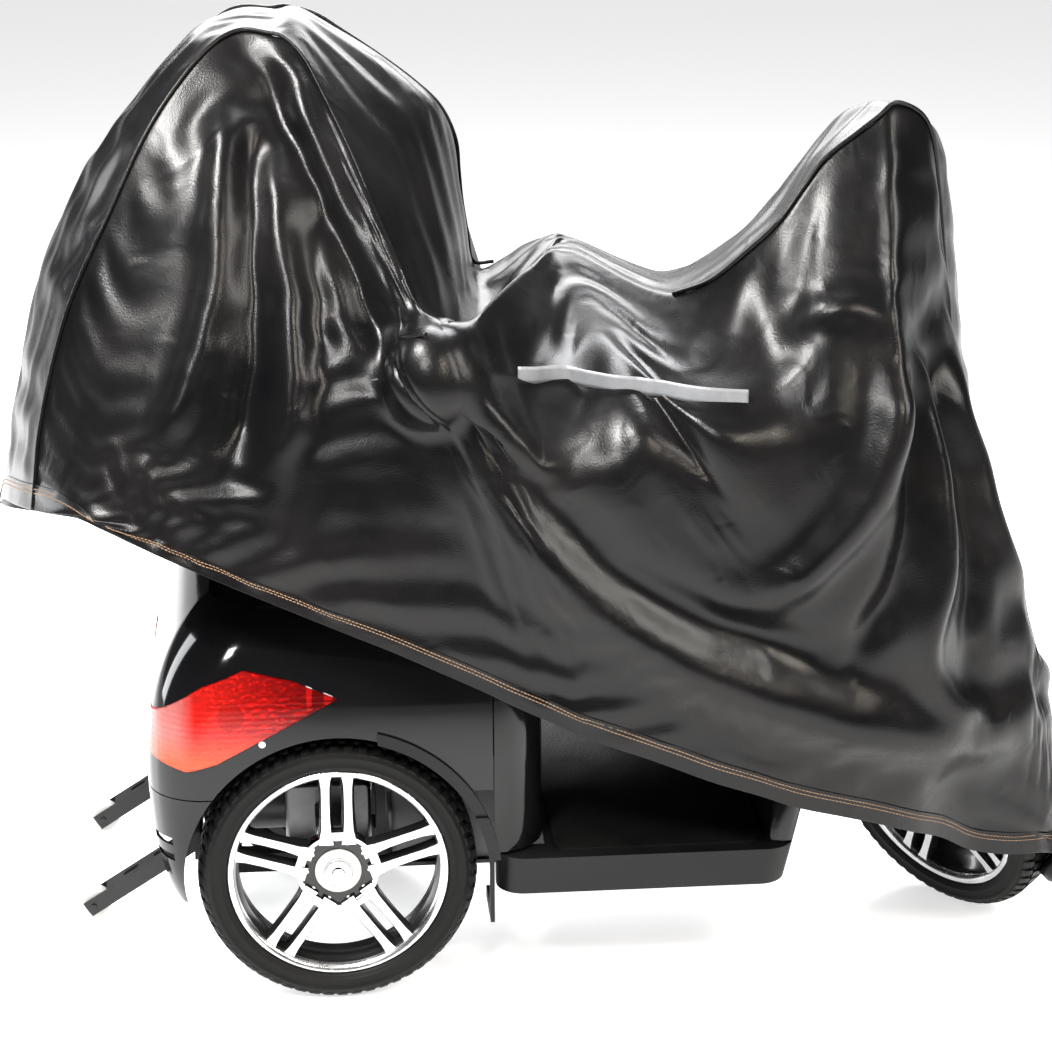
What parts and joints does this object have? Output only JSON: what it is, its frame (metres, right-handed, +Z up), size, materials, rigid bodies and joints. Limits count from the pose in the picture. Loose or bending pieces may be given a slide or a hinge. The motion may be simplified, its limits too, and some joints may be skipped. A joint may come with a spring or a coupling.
{
  "type": "mobility scooter",
  "caption": "Three-wheeled mobility scooter with a swivel captain's seat, swept tiller and anti-tip wheels, worn under a draped faux-leather storm cover",
  "frame": {"origin": "centre of the bounding box in plan, on the floor under the tyres", "axes": "+X forward (rear axle toward front wheel), +Y to the rider's left, +Z up; the rest pose is the one seen, with the front wheel and tiller turned to the right and the seat swivelled to the right"},
  "size_m": [1.625, 0.782, 1.4],
  "materials": {
    "frame_paint": "semi-gloss powder coat",
    "body_gloss": "piano-black lacquer",
    "trim_matte": "fine-grained matte",
    "tyre": "rubber",
    "rim_alloy": "machined faces with black recesses",
    "chrome": "polished",
    "steel": "brushed",
    "cast": "as cast",
    "motor_black": "satin",
    "battery_case": "satin",
    "lamp_lens": "clear coloured",
    "lamp_bowl": "vacuum metallised",
    "mat_rubber": "pebbled",
    "grip_rubber": "soft",
    "white_wheel": "nylon",
    "vinyl": "grained vinyl upholstery",
    "cover_vinyl": "embossed faux leather",
    "clear": "clear",
    "mirror": "silvered",
    "red_plastic": "gloss"
  },
  "bodies": {
    "chassis": {"main_frame": "frame_paint", "transaxle": "cast", "drive_motor": "motor_black", "battery_right": "battery_case", "battery_left": "battery_case", "rear_shell": "body_gloss", "rear_bumper": "body_gloss", "tail_lamp_lens_right": "lamp_lens", "tail_lamp_lens_left": "lamp_lens", "tail_lamp_bowl_right": "lamp_bowl", "tail_lamp_bowl_left": "lamp_bowl", "seat_box": "body_gloss", "arch_trim_right": "trim_matte", "arch_trim_left": "trim_matte", "floor_pan": "trim_matte", "floor_mat": "mat_rubber", "front_shroud": "body_gloss", "body_screws": "steel", "anti_tip_arms": "frame_paint"},
    "rear_wheel_right": {"rear_tyre_right": "tyre", "rear_rim_right": "rim_alloy", "rear_hub_cap_right": "chrome", "rear_axle_right": "steel"},
    "rear_wheel_left": {"rear_tyre_left": "tyre", "rear_rim_left": "rim_alloy", "rear_hub_cap_left": "chrome", "rear_axle_left": "steel"},
    "anti_tip_right": {"anti_tip_wheel_right": "white_wheel"},
    "anti_tip_left": {"anti_tip_wheel_left": "white_wheel"},
    "freewheel": {"freewheel_lever": "red_plastic"},
    "charger_cover": {"charger_flap": "trim_matte"},
    "steered": {"front_fork": "frame_paint", "front_fender": "body_gloss", "front_axle": "steel"},
    "front_wheel": {"front_tyre": "tyre", "front_rim": "rim_alloy", "front_hub_cap": "chrome"},
    "tiller": {"tiller_column": "frame_paint", "tiller_console": "body_gloss", "handlebar": "frame_paint", "handle_grips": "grip_rubber", "mirror_arm": "frame_paint", "mirror_glass": "mirror", "headlamp_bowl": "chrome", "headlamp_lens": "clear"},
    "throttle_paddle": {"throttle_lever": "trim_matte"},
    "brake_paddle": {"brake_lever": "steel"},
    "key": {"ignition_key": "steel"},
    "speed_control": {"speed_knob": "trim_matte"},
    "horn": {"horn_button": "red_plastic"},
    "seat_riser": {"seat_post": "frame_paint"},
    "seat_turntable": {"seat_swivel_plate": "frame_paint"},
    "seat": {"seat_pan": "frame_paint", "seat_cushion": "vinyl"},
    "seat_back": {"backrest": "vinyl"},
    "headrest_body": {"headrest": "vinyl"},
    "arm_right": {"armrest_right": "vinyl"},
    "arm_left": {"armrest_left": "vinyl"},
    "storm_cover": {"cover": "cover_vinyl"}
  },
  "joints": [
    {"name": "rear_wheel_spin_right", "type": "hinge", "parent": "chassis", "child": "rear_wheel_right", "pos_m": [-0.3125, -0.216, 0.205], "axis": [0, 1, 0], "continuous": true},
    {"name": "rear_wheel_spin_left", "type": "hinge", "parent": "chassis", "child": "rear_wheel_left", "pos_m": [-0.3125, 0.214, 0.205], "axis": [0, 1, 0], "continuous": true},
    {"name": "anti_tip_spin_right", "type": "hinge", "parent": "chassis", "child": "anti_tip_right", "pos_m": [-0.6745, -0.153, 0.128], "axis": [0, 1, 0], "continuous": true},
    {"name": "anti_tip_spin_left", "type": "hinge", "parent": "chassis", "child": "anti_tip_left", "pos_m": [-0.6745, 0.151, 0.128], "axis": [0, 1, 0], "continuous": true},
    {"name": "freewheel_turn", "type": "hinge", "parent": "chassis", "child": "freewheel", "pos_m": [-0.4945, -0.016, 0.27], "axis": [0, 1, 0], "range_deg": [-25, 0]},
    {"name": "charger_flap_open", "type": "hinge", "parent": "chassis", "child": "charger_cover", "pos_m": [-0.0015, 0.149, 0.5], "axis": [0, -1, 0], "range_deg": [0, 80], "stiffness_Nm_per_rad": 0.01, "springref_deg": -5.73},
    {"name": "steer", "type": "hinge", "parent": "chassis", "child": "steered", "pos_m": [0.6275, -0.001, 0.1976], "axis": [-0.3746, 0, 0.9272], "range_deg": [-2.3, 113.7]},
    {"name": "front_wheel_spin", "type": "hinge", "parent": "steered", "child": "front_wheel", "pos_m": [0.63795, -0.01752, 0.20182], "axis": [0.7659, 0.5635, 0.3095], "continuous": true},
    {"name": "tiller_tilt", "type": "hinge", "parent": "steered", "child": "tiller", "pos_m": [0.45518, -0.001, 0.6241], "axis": [0.7659, 0.5635, 0.3095], "range_deg": [-12, 4]},
    {"name": "throttle", "type": "hinge", "parent": "tiller", "child": "throttle_paddle", "pos_m": [0.34475, -0.13628, 0.89171], "axis": [-0.0944, -0.3776, 0.9211], "range_deg": [-9, 9], "stiffness_Nm_per_rad": 0.12},
    {"name": "brake", "type": "hinge", "parent": "tiller", "child": "brake_paddle", "pos_m": [0.51491, -0.08084, 0.93186], "axis": [-0.0944, -0.3776, 0.9211], "range_deg": [0, 9], "stiffness_Nm_per_rad": 0.12, "springref_deg": -6.88},
    {"name": "key_turn", "type": "hinge", "parent": "tiller", "child": "key", "pos_m": [0.45989, -0.12106, 1.04435], "axis": [-0.0944, -0.3776, 0.9211], "range_deg": [0, 70]},
    {"name": "speed_dial", "type": "hinge", "parent": "tiller", "child": "speed_control", "pos_m": [0.40933, -0.15825, 1.02393], "axis": [-0.0944, -0.3776, 0.9211], "range_deg": [-135, 135]},
    {"name": "horn_press", "type": "slide", "parent": "tiller", "child": "horn", "axis": [0.0944, 0.3776, -0.9211], "range_m": [0, 0.003], "stiffness_N_per_m": 250, "springref_m": -0.001},
    {"name": "seat_height", "type": "slide", "parent": "chassis", "child": "seat_riser", "axis": [0, 0, 1], "range_m": [0, 0.06]},
    {"name": "seat_swivel", "type": "hinge", "parent": "seat_riser", "child": "seat_turntable", "pos_m": [-0.1625, -0.001, 0.632], "axis": [0, 0, 1], "range_deg": [0, 20.8]},
    {"name": "seat_forward", "type": "slide", "parent": "seat_turntable", "child": "seat", "axis": [0.9348, -0.3551, 0], "range_m": [-0.03, 0.05]},
    {"name": "backrest_recline", "type": "hinge", "parent": "seat", "child": "seat_back", "pos_m": [-0.36068, 0.07428, 0.72], "axis": [0.3551, 0.9348, 0], "range_deg": [-6, 24]},
    {"name": "headrest_height", "type": "slide", "parent": "seat_back", "child": "headrest_body", "axis": [-0.1301, 0.0494, 0.9903], "range_m": [0, 0.06]},
    {"name": "armrest_lift_right", "type": "hinge", "parent": "seat_back", "child": "arm_right", "pos_m": [-0.43444, -0.16192, 0.87963], "axis": [-0.3551, -0.9348, 0], "range_deg": [0, 95]},
    {"name": "armrest_lift_left", "type": "hinge", "parent": "seat_back", "child": "arm_left", "pos_m": [-0.25902, 0.29988, 0.87963], "axis": [-0.3551, -0.9348, 0], "range_deg": [0, 95]},
    {"name": "cover_lift", "type": "slide", "parent": "chassis", "child": "storm_cover", "axis": [0, 0, 1], "range_m": [0, 1.45], "deforming": ["cover"]}
  ]
}
